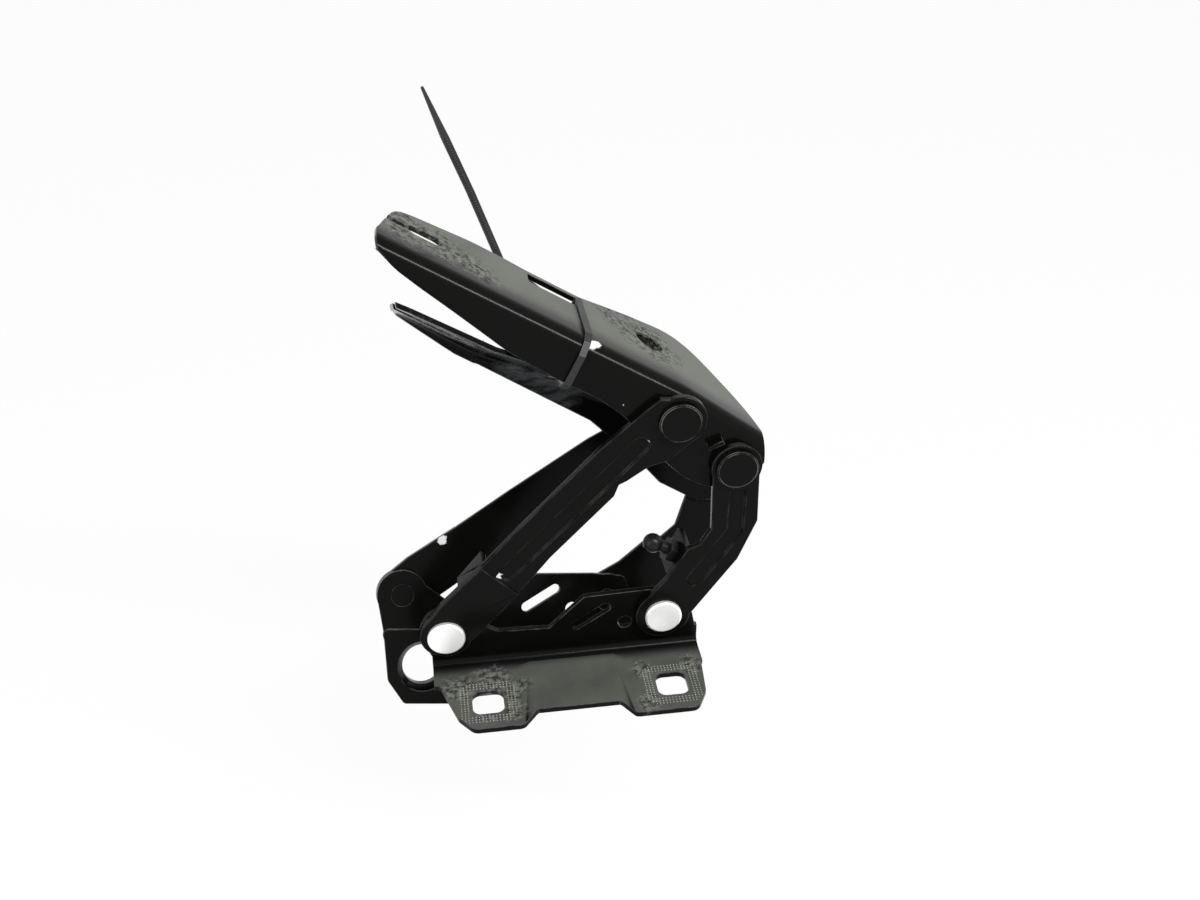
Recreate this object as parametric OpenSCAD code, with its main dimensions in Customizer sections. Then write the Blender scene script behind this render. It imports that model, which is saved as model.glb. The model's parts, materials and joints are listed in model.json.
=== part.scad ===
// Bonnet hinge pair: a left and a right four-bar hinge, lashed together by a cable tie.
// Millimetres. X runs rearward along the left base, Y points inboard and Z points up.
// The origin is midway between the two left foot holes, on the underside of the feet.

/* [Linkage] */
// Distance between the two lower pivots
pivot_base = 110; // [104:1:116]
// Height of the lower pivots above the feet
pivot_height = 25; // [24:0.5:28]
// Front link, pivot to pivot
front_length = 162; // [158:0.5:166]
// Front link angle above the base when open
front_angle = 44.7; // [43:0.1:46]
// Rear link, pivot to pivot
rear_length = 92.3; // [90:0.1:95]
// Distance between the two upper pivots on the bonnet bracket
coupler_length = 40; // [39:0.1:42]
// Angle at which the bonnet bracket is drawn, along its upper pivots
coupler_angle = -44.468; // [-46:0.001:-43]

/* [Sheet] */
// Base bracket sheet
base_t = 3; // [2.5:0.1:3.5]
// Bonnet bracket sheet
bonnet_t = 2.5; // [2:0.1:3]
// Link sheet
link_t = 3.4; // [3:0.1:4]
// Height of the joggled pad at the lower end of the front link
pad_t = 1; // [0.8:0.1:1.4]
// Outside bend radius of the bonnet bracket
bonnet_bend = 8; // [6:0.5:9]
// Inside bend radius of the base bracket
base_bend = 4; // [3:0.5:5]

/* [Base] */
// Distance between the two foot holes
foot_pitch = 92; // [88:1:96]
// Distance from the web to the line of foot holes
foot_depth = 31; // [29:0.5:33]
// Distance from the web to the front edge of a foot
foot_reach = 49; // [47:0.5:52]
// Radius of a foot hole
foot_hole_r = 7.75; // [6:0.25:8.5]
// How far the middle of the flange stands above the feet
middle_rise = 2.4; // [2:0.1:2.6]
// Depth of the turned-down front leg of the right base
leg_drop = 32; // [28:1:36]

/* [Bonnet bracket] */
// Widest part of the top flange
flange_width = 60; // [58:1:64]
// Width of the top flange at its front end
flange_tip_width = 46; // [43:1:48]
// Radius of the rear bonnet bolt hole
bonnet_hole_r = 7.5; // [5:0.25:8]
// Width of the open slot at the front end
bonnet_slot_w = 10; // [8:0.5:12]

/* [Pivots] */
// Rivet shank radius
rivet_r = 5; // [4.5:0.1:5.5]
// Radius of a lower rivet head
lower_head_r = 9.4; // [8.8:0.1:9.8]
// Radius of an upper rivet head
upper_head_r = 10.2; // [9.8:0.1:10.8]
// Thickness of a rivet head
head_t = 2.4; // [1.8:0.1:3]
// Wall of a bush sleeve
bush_wall = 1.5; // [1.2:0.1:1.6]
// Thickness of a bush flange
bush_flange_t = 0.6; // [0.5:0.1:0.8]
// Running clearance of a link on its bush
running = 0.06; // [0.03:0.01:0.1]
// Extra radius of the rear upper hole
rear_upper_play = 2.2; // [2.1:0.05:2.4]

/* [Ball stud] */
// Radius of the ball
ball_r = 5; // [4:0.5:6.5]
// Width across the flats of the hexagon
stud_hex = 11; // [10:0.5:12]
// Distance from the tab to the centre of the ball
ball_reach = 12; // [11:0.5:14]

/* [Pose] */
// Fold of the right hinge away from open, negative closes it
right_fold = -10.5; // [-12:0.5:-9]
// Turn of the right hinge about the vertical
right_yaw = 8; // [6:0.5:10]
// Lean of the right hinge away from the left one
right_lean = 27; // [25:0.5:29]
// Nose-down tilt of the right hinge
right_tilt = 11.5; // [10:0.5:13]

/* [Cable tie] */
// Width of the strap
strap_w = 3.6; // [2.5:0.1:4.8]
// Thickness of the strap
strap_t = 1.2; // [1:0.1:1.4]

/* [Hidden] */
$fn = 40;
black = [0.05, 0.05, 0.055];
grey = [0.30, 0.30, 0.29];
bright = [0.80, 0.80, 0.78];
bronze = [0.42, 0.33, 0.20];
plastic = [0.03, 0.03, 0.03];
side_gap = 0.05;
eye_r = 13;
link_back = bush_flange_t + side_gap;
link_front = link_back + link_t;
pad_front = link_front + pad_t;
front_foot_x = 18;
rear_foot_x = front_foot_x + foot_pitch;
foot_mid = (front_foot_x + rear_foot_x) / 2;
base_end = pivot_base + 19;
right_pivot = [-21.5, 32.5, pivot_height];
A = [0, pivot_height];
B = [pivot_base, pivot_height];
C = A + front_length * [cos(front_angle), sin(front_angle)];
D = meet(C);
E = C + coupler_length * [cos(coupler_angle), sin(coupler_angle)];
rear_angle = ang(D - B);
hole_play = side_gap + running;
tab_y = 8.5;
tab_at = [31, 5.2];
tab_turn = -8.7;
window_x = [C[0] - 66.5, C[0] - 36.5];
window_y = [flange_width - 21, flange_width - 9];
web_low = [C + [-37, 15], C + [-102, 64.5]];
nose_path = [C + [-130, 94], C + [-89, 64], C + [4, 13], C + [39, -21]];
base_start = -8;
foot_path = [[base_start, 0], [35, 0], [41, middle_rise], [83, middle_rise], [89, 0], [base_end, 0]];
leg_path = [[44, middle_rise], [83, middle_rise], [89, 0], [base_end, 0]];
leg_hole = [13, -12];
groove_depth = 1.3;
joggle_at = 42;
front_groove = [[joggle_at + 5, 2], [front_length - 20.5, 4.2]];
rear_groove = [[78, -6.5], [58, -14], [25, -6.5]];

function ang(v) = atan2(v[1], v[0]);
function rot2(v, a) = [v[0] * cos(a) - v[1] * sin(a), v[0] * sin(a) + v[1] * cos(a)];
// Where the coupler and the rear link meet, to the rear of the front upper pivot
function meet(c) =
    let (v = B - c, d = norm(v))
    let (x = (pow(coupler_length, 2) - pow(rear_length, 2) + d * d) / (2 * d))
    let (h = sqrt(max(0, pow(coupler_length, 2) - x * x)), e = v / d)
    c + e * x + [-e[1], e[0]] * h;
function c_at(a) = A + rot2(C - A, a);
function d_at(a) = meet(c_at(a));
function bonnet_turn(a) = ang(d_at(a) - c_at(a)) - coupler_angle;
function rear_turn(a) = ang(d_at(a) - B) - ang(D - B);
function bonnet_pt(p, a) = c_at(a) + rot2(p - C, bonnet_turn(a));
function turn_x(v, a) = [v[0], v[1] * cos(a) - v[2] * sin(a), v[1] * sin(a) + v[2] * cos(a)];
function turn_y(v, a) = [v[0] * cos(a) + v[2] * sin(a), v[1], v[2] * cos(a) - v[0] * sin(a)];
function turn_z(v, a) = [v[0] * cos(a) - v[1] * sin(a), v[0] * sin(a) + v[1] * cos(a), v[2]];
// A point of the right hinge, given as if it were on the left one
function on_right(q) =
    let (v = turn_y([q[0], -q[1], q[2] - pivot_height], right_tilt))
    right_pivot + turn_z(turn_x(v, -right_lean), right_yaw);
function left_normal(p, q) = let (u = (q - p) / norm(q - p)) [-u[1], u[0]];
function join_normal(a, b, d) = let (m = (a + b) / norm(a + b)) m * d / (m * a);
// The line beside an open path at distance d, with mitred corners
function beside(path, d) = [
    for (i = [0 : len(path) - 1])
        i == 0 ? path[0] + d * left_normal(path[0], path[1])
        : i == len(path) - 1 ? path[i] + d * left_normal(path[i - 1], path[i])
        : path[i] + join_normal(left_normal(path[i - 1], path[i]), left_normal(path[i], path[i + 1]), d)
];
function turned(list) = [for (i = [len(list) - 1 : -1 : 0]) list[i]];
function ribbon(path, d) = concat(path, turned(beside(path, d)));
// Height of the outside of the top flange at x, on its long middle run
function flange_z(x) =
    nose_path[1][1] + (x - nose_path[1][0]) * (nose_path[2][1] - nose_path[1][1])
    / (nose_path[2][0] - nose_path[1][0]);

// Placing

module left_side() {
    translate([-foot_mid, foot_depth, 0]) children();
}

module right_side() {
    translate([-foot_mid, foot_depth, 0])
        translate(right_pivot)
            rotate([0, 0, right_yaw])
                rotate([-right_lean, 0, 0])
                    rotate([0, right_tilt, 0])
                        translate([0, 0, -pivot_height])
                            mirror([0, 1, 0]) children();
}

module spin(p, a) {
    translate([p[0], 0, p[1]]) rotate([0, -a, 0]) translate([-p[0], 0, -p[1]]) children();
}

module with_front_link(a) {
    spin(A, a) children();
}

module with_rear_link(a) {
    spin(B, rear_turn(a)) children();
}

module with_bonnet(a) {
    shift = c_at(a) - C;
    translate([shift[0], 0, shift[1]]) spin(C, bonnet_turn(a)) children();
}

// Flat sheet drawn in the X-Z plane, its outboard face at y
module sheet(y, t) {
    translate([0, y + t, 0]) rotate([90, 0, 0]) linear_extrude(t) children();
}

// A round bar along Y between two depths
module across(p, r, y0, y1) {
    translate([p[0], y1, p[1]]) rotate([90, 0, 0]) cylinder(r = r, h = y1 - y0);
}

// A section drawn in depth and height, run along one straight piece of a path
module run_along(p, q, more) {
    translate([p[0], 0, p[1]])
        rotate([0, -ang(q - p), 0])
            translate([-more, 0, 0])
                rotate([90, 0, 90]) linear_extrude(norm(q - p) + 2 * more) children();
}

module along_front_link() {
    translate([A[0], 0, A[1]]) rotate([0, -front_angle, 0]) children();
}

module along_rear_link() {
    translate([B[0], 0, B[1]]) rotate([0, -rear_angle, 0]) children();
}

module soften(r) {
    offset(r = r, $fn = 24) offset(delta = -2 * r) offset(r = r, $fn = 24) children();
}

// Base bracket

module base_web(low) {
    difference() {
        union() {
            translate(A) circle(eye_r);
            translate(B) circle(eye_r + 1);
            soften(2.5)
                polygon(concat(low, [
                    [base_end - 3, pivot_height - 3], [pivot_base + 9, pivot_height + 13],
                    [pivot_base - 8, pivot_height + 14], [pivot_base - 40, pivot_height + 13],
                    [52, pivot_height - 5], [26, pivot_height - 4], [11, pivot_height + 6],
                    [-9, pivot_height + 9], [-12, pivot_height - 5]]));
        }
        for (k = [0 : 2 : 2]) {
            translate([66 + 7.5 * k, pivot_height - 5 + 5 * k]) circle(2.6);
        }
        translate([73.5, pivot_height]) rotate(atan2(10, 15)) square([norm([10, 15]), 5.2], center = true);
        translate([91, pivot_height - 5.5]) circle(3.6);
    }
}

// The bend between web and flange, with a short straight stub on each side
module base_bend_run(from) {
    inner = base_bend;
    outer = base_t + base_bend;
    steps = 8;
    run_along([from, 0], [base_end, 0], 0)
        polygon(concat(
            [[0, outer + 6], [base_t, outer + 6]],
            [for (i = [0 : steps]) [-inner, outer] + outer * [cos(90 * i / steps), -sin(90 * i / steps)]],
            [[-inner - 4, 0], [-inner - 4, base_t]],
            [for (i = [steps : -1 : 0]) [-inner, outer] + inner * [cos(90 * i / steps), -sin(90 * i / steps)]]));
}

module foot_outline(from) {
    soften(5)
        polygon([[from, -base_bend - 3], [from + 11, -foot_reach + 9],
            [from + 18, -foot_reach], [34, -foot_reach], [42, -foot_reach + 7],
            [82, -foot_reach + 7], [89, -foot_reach], [base_end - 9, -foot_reach],
            [base_end - 3, -foot_reach + 11], [base_end, -base_bend - 3]]);
}

module base_flange(path, outline_from) {
    intersection() {
        sheet(-foot_reach - 1, foot_reach - base_bend - 2) polygon(ribbon(path, base_t));
        translate([0, 0, -1]) linear_extrude(middle_rise + base_t + 2)
            union() {
                foot_outline(outline_from);
                translate([path[0][0], -base_bend - 12]) square([base_end - path[0][0], 11]);
            }
    }
}

module foot_hole(x) {
    translate([x, -foot_depth, -1]) cylinder(r = foot_hole_r, h = middle_rise + base_t + 2);
}

module base_bracket() {
    low = base_t + base_bend + 1;
    difference() {
        union() {
            sheet(0, base_t) base_web([[base_start, low], [base_end, low]]);
            base_bend_run(base_start);
            base_flange(foot_path, base_start);
        }
        across(A, rivet_r, -1, base_t + 1);
        across(B, rivet_r, -1, base_t + 1);
        foot_hole(front_foot_x);
        foot_hole(rear_foot_x);
    }
}

// The right base stands its front end on a leg with a dished hole in place of the flat foot
module leg_sheet() {
    soften(3)
        polygon([[-10, 7], [-8, 1], [-5, -leg_drop + 12], [4, -leg_drop], [36, -leg_drop],
            [40, -leg_drop + 6], [42, 8]]);
}

module legged_base_bracket() {
    low = base_t + base_bend + 1;
    difference() {
        union() {
            sheet(0, base_t) base_web([[base_start, 3], [42, 3], [48, low], [base_end, low]]);
            base_bend_run(leg_path[0][0]);
            base_flange(leg_path, base_start);
            sheet(1.2, base_t) leg_sheet();
            across(leg_hole, 14.5, -7, base_t + 0.5);
        }
        across(A, rivet_r, -1, base_t + 1);
        across(B, rivet_r, -1, base_t + 1);
        foot_hole(rear_foot_x);
        across(leg_hole, 10.5, -8, base_t + 3);
        translate([leg_hole[0], base_t + 1.2, leg_hole[1]])
            rotate([90, 0, 0]) cylinder(r1 = 13.2, r2 = 10.5, h = 5);
    }
}

// Bonnet bracket

module bonnet_web() {
    under = beside(nose_path, -1);
    soften(3)
        polygon(concat(under, [E + [13.5, -3], E + [9, -11], E + [-4, -14], E + [-15, -12],
            C + [-5, -26], C + [-15, -11], web_low[0], web_low[1], C + [-126, 82]]));
}

// What the slanting lower edge takes off the web and the bend at the front end
module nose_trim() {
    polygon([C + [-100, 61.8], C + [-127.2, 88], C + [-128.8, 91], C + [-128.8, 110], C + [-150, 110],
        C + [-150, 50], C + [-100, 50]]);
}

module bonnet_outline() {
    front = nose_path[0][0];
    soften(4)
        polygon([[front, -5], [front, flange_tip_width - 6], [front + 6, flange_tip_width],
            [front + 45, flange_width], [C[0] - 4, flange_width], [C[0] + 20, flange_width - 13],
            [nose_path[3][0] + 1, 12], [nose_path[3][0] + 2, -5]]);
}

// A tool that stands square on the top flange at x
module on_flange(x, y, p, q) {
    k = (x - p[0]) / (q[0] - p[0]);
    at = p + (q - p) * k;
    translate([at[0], y, at[1]]) rotate([0, -ang(q - p), 0]) children();
}

module stop_tab() {
    spin(E, 22) translate([E[0] - 9, -link_front, E[1] + eye_r + rear_upper_play + side_gap])
        cube([8, link_front + bonnet_t, 2.4]);
}

module bonnet_bracket() {
    stop_tab();
    difference() {
        union() {
            sheet(0, bonnet_t) bonnet_web();
            sheet(0, bonnet_t) translate(E) circle(eye_r - 1.5);
            intersection() {
                sheet(0, flange_width) polygon(ribbon(nose_path, -bonnet_t));
                linear_extrude(nose_path[0][1] + 20) bonnet_outline();
            }
            for (i = [0 : len(nose_path) - 2]) {
                run_along(nose_path[i], nose_path[i + 1], 1.2)
                    difference() {
                        translate([bonnet_t / 2, -bonnet_bend]) square(bonnet_bend - bonnet_t / 2);
                        translate([bonnet_bend, -bonnet_bend]) circle(bonnet_bend - bonnet_t);
                        translate([bonnet_bend - 0.01, -bonnet_bend - 1]) square(bonnet_bend + 2);
                    }
            }
        }
        for (i = [0 : len(nose_path) - 2]) {
            run_along(nose_path[i], nose_path[i + 1], 1)
                difference() {
                    translate([-1, -bonnet_bend]) square(bonnet_bend + 1);
                    translate([bonnet_bend, -bonnet_bend]) circle(bonnet_bend);
                }
        }
        sheet(-1, bonnet_bend + 2) nose_trim();
        across(C, rivet_r, -1, bonnet_t + 1);
        across(E, rivet_r, -1, bonnet_t + 1);
        on_flange(C[0] - 7, flange_width - 20, nose_path[1], nose_path[2])
            translate([0, 0, -8]) cylinder(r = bonnet_hole_r, h = 16);
        on_flange(nose_path[0][0] + 27, 31, nose_path[0], nose_path[1]) {
            translate([0, 0, -8]) cylinder(r = bonnet_slot_w / 2, h = 16);
            translate([-60, -bonnet_slot_w / 2, -8]) cube([60, bonnet_slot_w, 16]);
        }
        on_flange((window_x[0] + window_x[1]) / 2, (window_y[0] + window_y[1]) / 2,
            nose_path[1], nose_path[2])
            cube([window_x[1] - window_x[0], window_y[1] - window_y[0], 16], center = true);
    }
}

// Links

// The upper edge stands further from the pivot line than the lower one
module front_link_outline() {
    top = front_length;
    circle(eye_r);
    translate([top, 0]) circle(eye_r);
    soften(2)
        polygon([[-2, -12.5], [joggle_at, -10.2], [68, -7.2], [top - 49, -5.8], [top - 43, -3],
            [top - 39, -4.4], [top - 27, -6.6], [top - 18, -11.5], [top, -12.8], [top + 8, 8],
            [top + 2, 15.6], [top - 7, 16.6], [top - 35, 18], [75, 16.5], [joggle_at, 15],
            [12, 14.5], [-2, 12.5]]);
}

// A tab turned inboard from the upper edge of the left front link
module link_tab() {
    translate([33, 0, 14]) rotate([0, -6, 0])
        translate([-10, -link_front + 0.5, -link_t]) cube([20, link_front + 8.5, link_t]);
}

module front_link(tabbed) {
    difference() {
        along_front_link() {
            sheet(-link_front, link_t) front_link_outline();
            sheet(-pad_front, pad_t + 0.2)
                intersection() {
                    front_link_outline();
                    translate([-20, -30]) square([joggle_at + 20, 60]);
                }
            if (tabbed) link_tab();
        }
        across(A, rivet_r + bush_wall + running, -20, 1);
        across(C, rivet_r + bush_wall + running, -20, 1);
        along_front_link()
            sheet(-link_front - 1, groove_depth + 1)
                offset(r = 3.5, $fn = 24) polygon(ribbon(front_groove, 1));
    }
}

module rear_link_outline() {
    circle(eye_r + 1);
    translate([rear_length, 0]) circle(eye_r - 0.5);
    soften(2.5)
        polygon([[4, -13.5], [43, -23], [67, -23], [rear_length + 3, -11], [rear_length - 4, 11],
            [56, -2.5], [46, -1], [41.5, 4], [20, 7.5], [3, 13.5]]);
}

// The tab that carries the ball stud, turned inboard from the front edge of the left rear link
module on_tab() {
    along_rear_link()
        translate([tab_at[0], tab_y, tab_at[1]]) rotate([0, -tab_turn, 0]) children();
}

module rear_link(tabbed) {
    difference() {
        union() {
            along_rear_link() sheet(-link_front, link_t) rear_link_outline();
            if (tabbed) on_tab() translate([-9.5, -tab_y - link_front + 0.5, -link_t])
                cube([19, tab_y + link_front + 8, link_t]);
        }
        across(B, rivet_r + bush_wall + running, -20, 1);
        across(D, rivet_r + bush_wall / 2 + rear_upper_play, -20, 1);
        along_rear_link()
            sheet(-link_front - 1, groove_depth + 1)
                offset(r = 3.5, $fn = 24) polygon(ribbon(rear_groove, 1));
        if (tabbed) on_tab() translate([0, 0, -20]) cylinder(r = 4, h = 40);
    }
}

module ball_stud() {
    on_tab() {
        translate([0, 0, -link_t - 1.6]) cylinder(r = 6, h = 1.6);
        translate([0, 0, -link_t - 0.4]) cylinder(r = 4, h = link_t + 1);
        cylinder(r = stud_hex / 2 / cos(30), h = 4, $fn = 6);
        cylinder(r = 3, h = ball_reach);
        translate([0, 0, ball_reach])
            rotate_extrude()
                intersection() {
                    circle(ball_r);
                    translate([0, -ball_r]) square([ball_r, 2 * ball_r]);
                }
    }
}

// Pivots

// Headed outboard, set over inboard; front is the outboard face of the link it holds
module rivet(p, head_r, front, back) {
    seat = front + side_gap;
    across(p, rivet_r, -seat - 0.5, back + 0.5);
    across(p, head_r, -seat - head_t + 0.5, -seat);
    translate([p[0], -seat - head_t + 0.5, p[1]])
        rotate([90, 0, 0]) cylinder(r1 = head_r, r2 = head_r - 0.8, h = 0.5);
    across(p, rivet_r + 1, back, back + 1);
}

module bush(p, front, wall, flange_r) {
    difference() {
        union() {
            across(p, rivet_r + wall, -front - side_gap, 0);
            across(p, flange_r, -bush_flange_t, 0);
        }
        across(p, rivet_r, -front - 2, 1);
    }
}

// Cable tie, in the frame of the left hinge. Its loop lies in one plane, given as depth and height
// from the middle of the strap on the left flange

tie_x = C[0] - 41.3;
tie_tilt = 20;
tie_at = bonnet_pt([tie_x, flange_z(tie_x)], 0);
tie_from = [tie_at[0], 0, tie_at[1]];
tie_along = [cos(tie_tilt), 0, -sin(tie_tilt)];
tie_up = [sin(tie_tilt), 0, cos(tie_tilt)];
function cross2(v, w) = v[0] * w[1] - v[1] * w[0];
function in_tie(q) = [q[1], (q - tie_from) * tie_up];
function far_flange(x, y) =
    let (p = bonnet_pt([x, flange_z(x)], right_fold)) on_right([p[0], y, p[1]]);
// Where the loop's plane meets a line along the right flange
function far_cross(y) =
    let (p = far_flange(window_x[0], y), q = far_flange(window_x[1], y))
    in_tie(p + (q - p) * (((tie_from - p) * tie_along) / ((q - p) * tie_along)));
web_depth = cross2(web_low[0] - [tie_x, flange_z(tie_x)], web_low[1] - web_low[0])
    / cross2([-sin(tie_tilt), -cos(tie_tilt)], web_low[1] - web_low[0]);
far_edge = far_cross(flange_width);
rim = (far_cross(flange_width - 9) - far_edge) / 9;
// The strap's last run, from the right window up to the left one, and the head on it
run_low = far_edge + 12.5 * rim + [0, 3];
run_high = [window_y[0] + 8, -5];
head_at = run_high + (run_low - run_high) * 11 / norm(run_low - run_high);

module tie_loop() {
    half = strap_t / 2;
    lift = half + 0.5;
    points = [
        [window_y[0] + 6, lift], [bonnet_bend, lift + 0.1], [2.6, -0.3], [-lift, -5.6], [-lift, -web_depth],
        [0.8, -web_depth - 2.6], far_edge + [-2.6, -2.2],
        far_edge + 1.5 * rim + [-2.2, -4.2], far_edge + 8.6 * rim + [-2.2, -4.2],
        far_edge + 11.5 * rim + [-1, -2.6], run_low, run_high, run_high + [-0.6, 4]];
    translate(tie_from)
        rotate([0, tie_tilt, 0])
            translate([-strap_w / 2, 0, 0])
                rotate([90, 0, 90])
                    linear_extrude(strap_w)
                        difference() {
                            offset(r = half, $fn = 16) polygon(points);
                            offset(delta = -half) polygon(points);
                        }
}

module strap_end(p, w) {
    translate(p) rotate([0, -22, 20]) cube([w, strap_t, 0.6], center = true);
}

module tie_tail() {
    head = tie_from + [0, head_at[0] + 2, 0] + head_at[1] * tie_up;
    past = flange_width + 7;
    points = [head, tie_from + [-14.7, past - 4, 0], tie_from + [-34, past, 16.5],
        tie_from + [-46.5, past, 52], tie_from + [-56.5, past, 78], tie_from + [-65, past, 101]];
    last = len(points) - 2;
    for (i = [0 : last]) {
        hull() {
            strap_end(points[i], strap_w);
            strap_end(points[i + 1], i == last ? 1.2 : strap_w);
        }
    }
    translate(head + [0, -1, 0]) rotate([0, tie_tilt, 0]) cube([6, 5.4, 6.5], center = true);
}

// Named pieces

module left_base_bracket() { color(black) left_side() base_bracket(); }
module left_bonnet_bracket() { color(black) left_side() with_bonnet(0) bonnet_bracket(); }
module left_front_link() { color(black) left_side() front_link(true); }
module left_rear_link() { color(black) left_side() rear_link(true); }
module left_front_lower_rivet() { color(bright) left_side() rivet(A, lower_head_r, pad_front, base_t); }
module left_rear_lower_rivet() { color(bright) left_side() rivet(B, lower_head_r, link_front, base_t); }
module left_front_upper_rivet() {
    color(black) left_side() with_bonnet(0) rivet(C, upper_head_r, link_front, bonnet_t);
}
module left_rear_upper_rivet() {
    color(black) left_side() with_bonnet(0) rivet(E, upper_head_r, link_front, bonnet_t);
}
module left_front_lower_bush() { color(bronze) left_side() bush(A, pad_front, bush_wall, eye_r - 3); }
module left_rear_lower_bush() { color(bronze) left_side() bush(B, link_front, bush_wall, eye_r - 3); }
module left_front_upper_bush() {
    color(bronze) left_side() with_bonnet(0) bush(C, link_front, bush_wall, eye_r - 3);
}
module left_rear_upper_bush() {
    color(bronze) left_side() with_bonnet(0) bush(E, link_front, bush_wall / 2, eye_r - 2);
}
module left_ball_stud() { color(black) left_side() ball_stud(); }

module right_base_bracket() { color(black) right_side() legged_base_bracket(); }
module right_bonnet_bracket() { color(black) right_side() with_bonnet(right_fold) bonnet_bracket(); }
module right_front_link() { color(black) right_side() with_front_link(right_fold) front_link(false); }
module right_rear_link() { color(black) right_side() with_rear_link(right_fold) rear_link(false); }
module right_front_lower_rivet() { color(black) right_side() rivet(A, lower_head_r, pad_front, base_t); }
module right_rear_lower_rivet() { color(black) right_side() rivet(B, lower_head_r, link_front, base_t); }
module right_front_upper_rivet() {
    color(black) right_side() with_bonnet(right_fold) rivet(C, upper_head_r, link_front, bonnet_t);
}
module right_rear_upper_rivet() {
    color(black) right_side() with_bonnet(right_fold) rivet(E, upper_head_r, link_front, bonnet_t);
}
module right_front_lower_bush() { color(bronze) right_side() bush(A, pad_front, bush_wall, eye_r - 3); }
module right_rear_lower_bush() { color(bronze) right_side() bush(B, link_front, bush_wall, eye_r - 3); }
module right_front_upper_bush() {
    color(bronze) right_side() with_bonnet(right_fold) bush(C, link_front, bush_wall, eye_r - 3);
}
module right_rear_upper_bush() {
    color(bronze) right_side() with_bonnet(right_fold) bush(E, link_front, bush_wall / 2, eye_r - 2);
}

module cable_tie() {
    color(plastic) left_side() {
        tie_loop();
        tie_tail();
    }
}

left_base_bracket();
left_bonnet_bracket();
left_front_link();
left_rear_link();
left_front_lower_rivet();
left_rear_lower_rivet();
left_front_upper_rivet();
left_rear_upper_rivet();
left_front_lower_bush();
left_rear_lower_bush();
left_front_upper_bush();
left_rear_upper_bush();
left_ball_stud();
right_base_bracket();
right_bonnet_bracket();
right_front_link();
right_rear_link();
right_front_lower_rivet();
right_rear_lower_rivet();
right_front_upper_rivet();
right_rear_upper_rivet();
right_front_lower_bush();
right_rear_lower_bush();
right_front_upper_bush();
right_rear_upper_bush();
cable_tie();
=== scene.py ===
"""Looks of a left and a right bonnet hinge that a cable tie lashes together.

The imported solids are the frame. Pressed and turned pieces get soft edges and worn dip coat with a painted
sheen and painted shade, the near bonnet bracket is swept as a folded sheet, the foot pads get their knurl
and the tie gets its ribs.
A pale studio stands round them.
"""

import json
import logging
import math
from dataclasses import dataclass, field
from enum import Enum
from typing import Any

import bmesh
import bpy
from mathutils import Euler, Matrix, Vector


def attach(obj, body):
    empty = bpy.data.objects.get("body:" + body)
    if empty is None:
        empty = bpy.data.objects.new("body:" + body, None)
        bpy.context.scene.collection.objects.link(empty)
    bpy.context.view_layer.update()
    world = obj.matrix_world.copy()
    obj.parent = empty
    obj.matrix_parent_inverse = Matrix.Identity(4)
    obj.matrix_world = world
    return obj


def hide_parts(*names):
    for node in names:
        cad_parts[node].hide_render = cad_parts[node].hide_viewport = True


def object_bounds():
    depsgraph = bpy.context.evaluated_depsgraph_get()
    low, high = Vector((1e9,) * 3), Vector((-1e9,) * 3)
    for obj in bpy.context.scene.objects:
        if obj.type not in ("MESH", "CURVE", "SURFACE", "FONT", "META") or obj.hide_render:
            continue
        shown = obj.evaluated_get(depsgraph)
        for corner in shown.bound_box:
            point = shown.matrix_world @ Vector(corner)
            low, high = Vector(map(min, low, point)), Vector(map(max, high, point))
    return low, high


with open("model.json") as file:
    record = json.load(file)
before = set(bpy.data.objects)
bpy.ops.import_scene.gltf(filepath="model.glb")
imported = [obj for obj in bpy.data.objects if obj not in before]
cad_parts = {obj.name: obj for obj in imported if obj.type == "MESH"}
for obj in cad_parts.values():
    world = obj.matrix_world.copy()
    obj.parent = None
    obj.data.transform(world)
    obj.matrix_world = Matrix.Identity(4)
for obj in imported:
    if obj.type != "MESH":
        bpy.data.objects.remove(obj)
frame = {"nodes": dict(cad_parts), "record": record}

CAD_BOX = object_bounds()
LOG = logging.getLogger("bonnet_hinges")
MM = 0.001
FOOT_SHEET = 3 * MM
FOOT_HOLES = (-46 * MM, 46 * MM)
EDGE_MARK = "edge"

Pair = tuple[float, float]
Triple = tuple[float, float, float]
Line = tuple[Pair, ...]
Piece = bpy.types.Object
Paint = bpy.types.Material


class Side(Enum):
    """The two hinges of the pair."""

    LEFT = "left"
    RIGHT = "right"


class Slot(Enum):
    """Names of the record's material slots, which the pieces are handed but do not use."""

    PAINT = "black_paint"
    ZINC = "bright_zinc"
    STUD = "dark_steel"
    NYLON = "black_nylon"


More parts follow.
